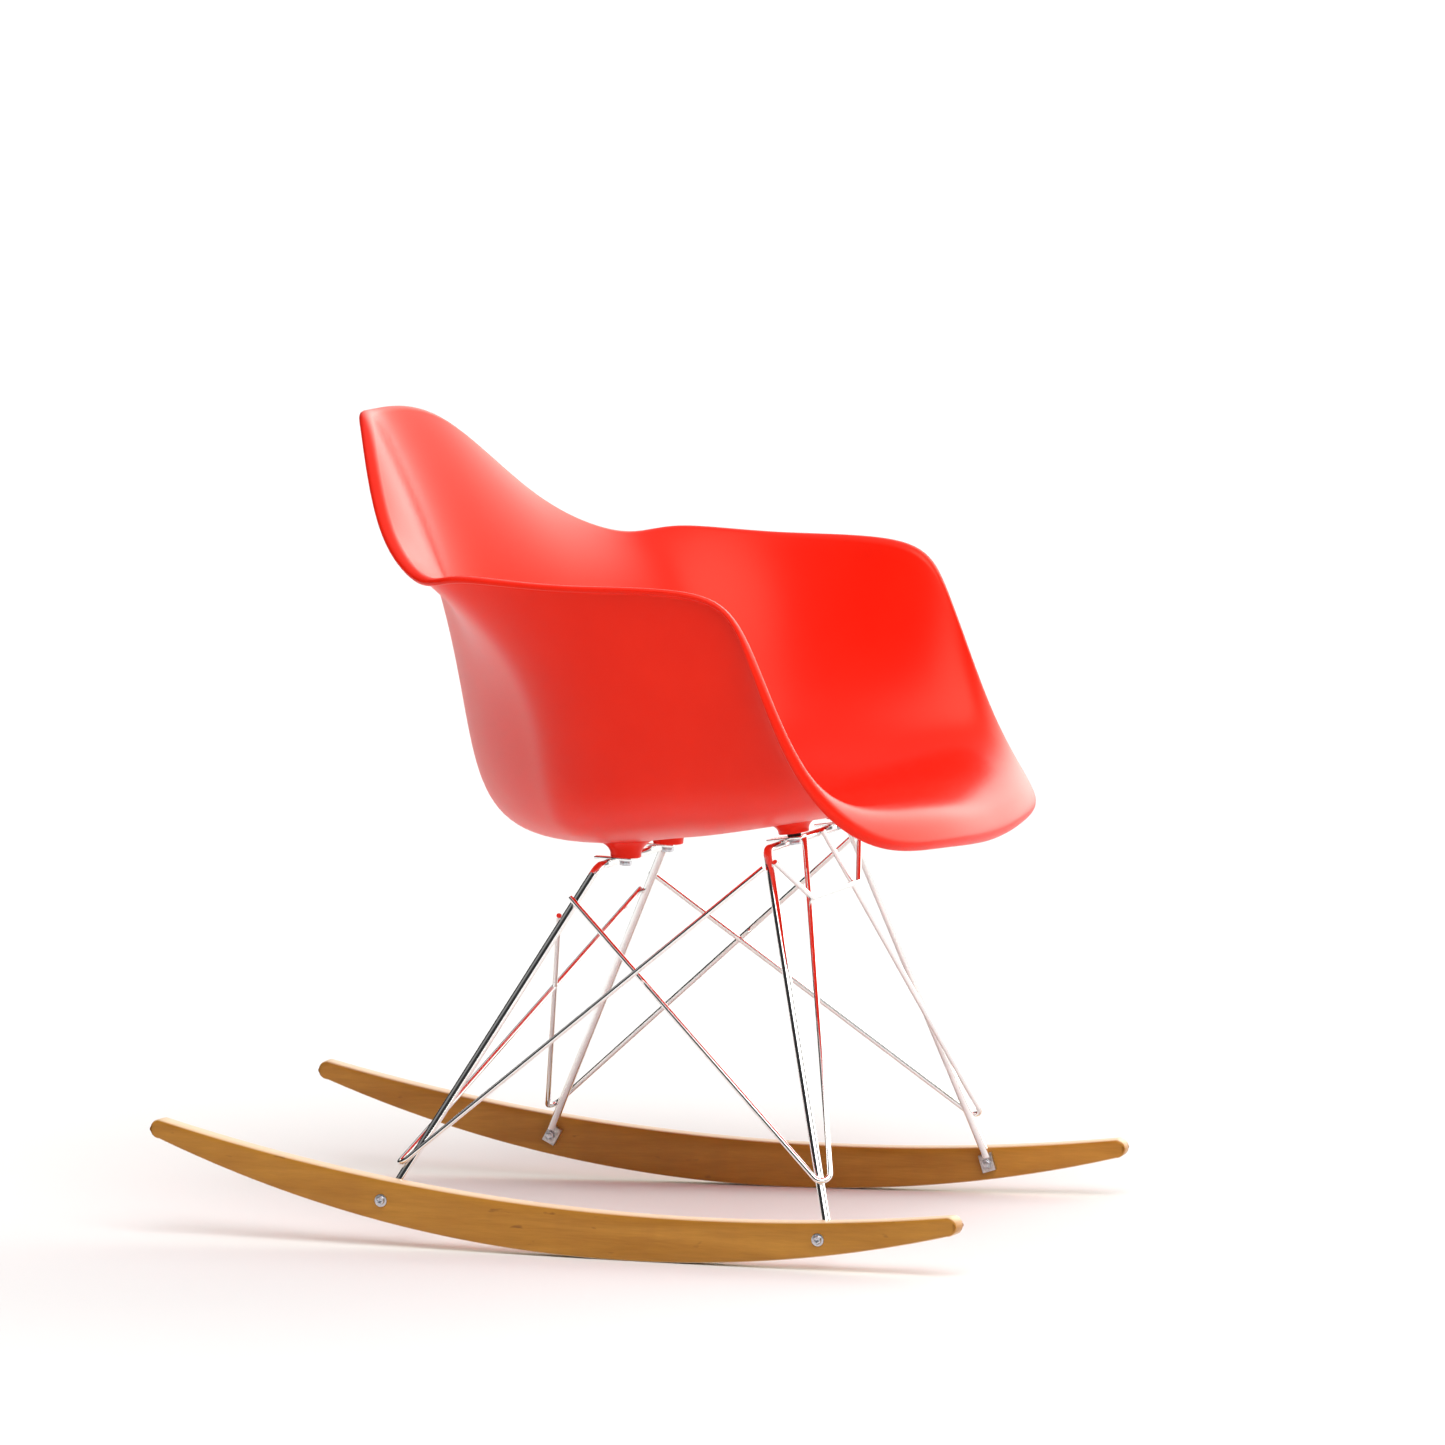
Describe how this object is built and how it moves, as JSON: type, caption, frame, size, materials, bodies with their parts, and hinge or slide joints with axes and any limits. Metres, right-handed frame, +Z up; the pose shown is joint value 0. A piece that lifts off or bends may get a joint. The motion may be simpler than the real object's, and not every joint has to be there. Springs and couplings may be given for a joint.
{
  "type": "rocking chair",
  "caption": "Rocking armchair with a moulded bucket shell on a bent-wire base bolted to two curved wooden rockers.",
  "frame": {"origin": "on the floor, in the chair's plane of symmetry, where the two rockers touch the floor", "axes": "+Z up, -Y the way the sitter faces, +X to the sitter's left; X = 0 is the plane of symmetry"},
  "size_m": [0.6882, 0.8047, 0.765],
  "materials": {
    "shell_plastic": "satin, orange red, through-coloured moulded polypropylene",
    "base_chrome": "bright chrome plate on steel wire",
    "rocker_maple": "clear satin lacquer on golden maple",
    "fastener_zinc": "bright zinc plate",
    "lug_steel": "plated steel, satin",
    "spacer_rubber": "matt black",
    "insert_brass": "machined"
  },
  "bodies": {
    "root": {"seat_shell": "shell_plastic", "rear_left_insert": "insert_brass", "rear_right_insert": "insert_brass", "front_left_insert": "insert_brass", "front_right_insert": "insert_brass", "rear_left_mount_plate": "base_chrome", "rear_right_mount_plate": "base_chrome", "front_left_mount_plate": "base_chrome", "front_right_mount_plate": "base_chrome", "front_left_spacer": "spacer_rubber", "front_right_spacer": "spacer_rubber", "rear_left_mount_bolt": "fastener_zinc", "rear_right_mount_bolt": "fastener_zinc", "front_left_mount_bolt": "fastener_zinc", "front_right_mount_bolt": "fastener_zinc", "rear_left_mount_washer": "fastener_zinc", "rear_right_mount_washer": "fastener_zinc", "front_left_mount_washer": "fastener_zinc", "front_right_mount_washer": "fastener_zinc", "front_leg_frame": "base_chrome", "rear_leg_frame": "base_chrome", "left_side_brace": "base_chrome", "right_side_brace": "base_chrome", "left_cross_brace": "base_chrome", "right_cross_brace": "base_chrome", "front_stretcher": "base_chrome", "rear_left_foot_lug": "lug_steel", "rear_right_foot_lug": "lug_steel", "front_left_foot_lug": "lug_steel", "front_right_foot_lug": "lug_steel", "left_rocker": "rocker_maple", "right_rocker": "rocker_maple", "rear_left_rocker_screw": "fastener_zinc", "rear_right_rocker_screw": "fastener_zinc", "front_left_rocker_screw": "fastener_zinc", "front_right_rocker_screw": "fastener_zinc", "rear_left_screw_washer": "fastener_zinc", "rear_right_screw_washer": "fastener_zinc", "front_left_screw_washer": "fastener_zinc", "front_right_screw_washer": "fastener_zinc", "rear_left_rocker_nut": "fastener_zinc", "rear_right_rocker_nut": "fastener_zinc", "front_left_rocker_nut": "fastener_zinc", "front_right_rocker_nut": "fastener_zinc"}
  },
  "joints": []
}
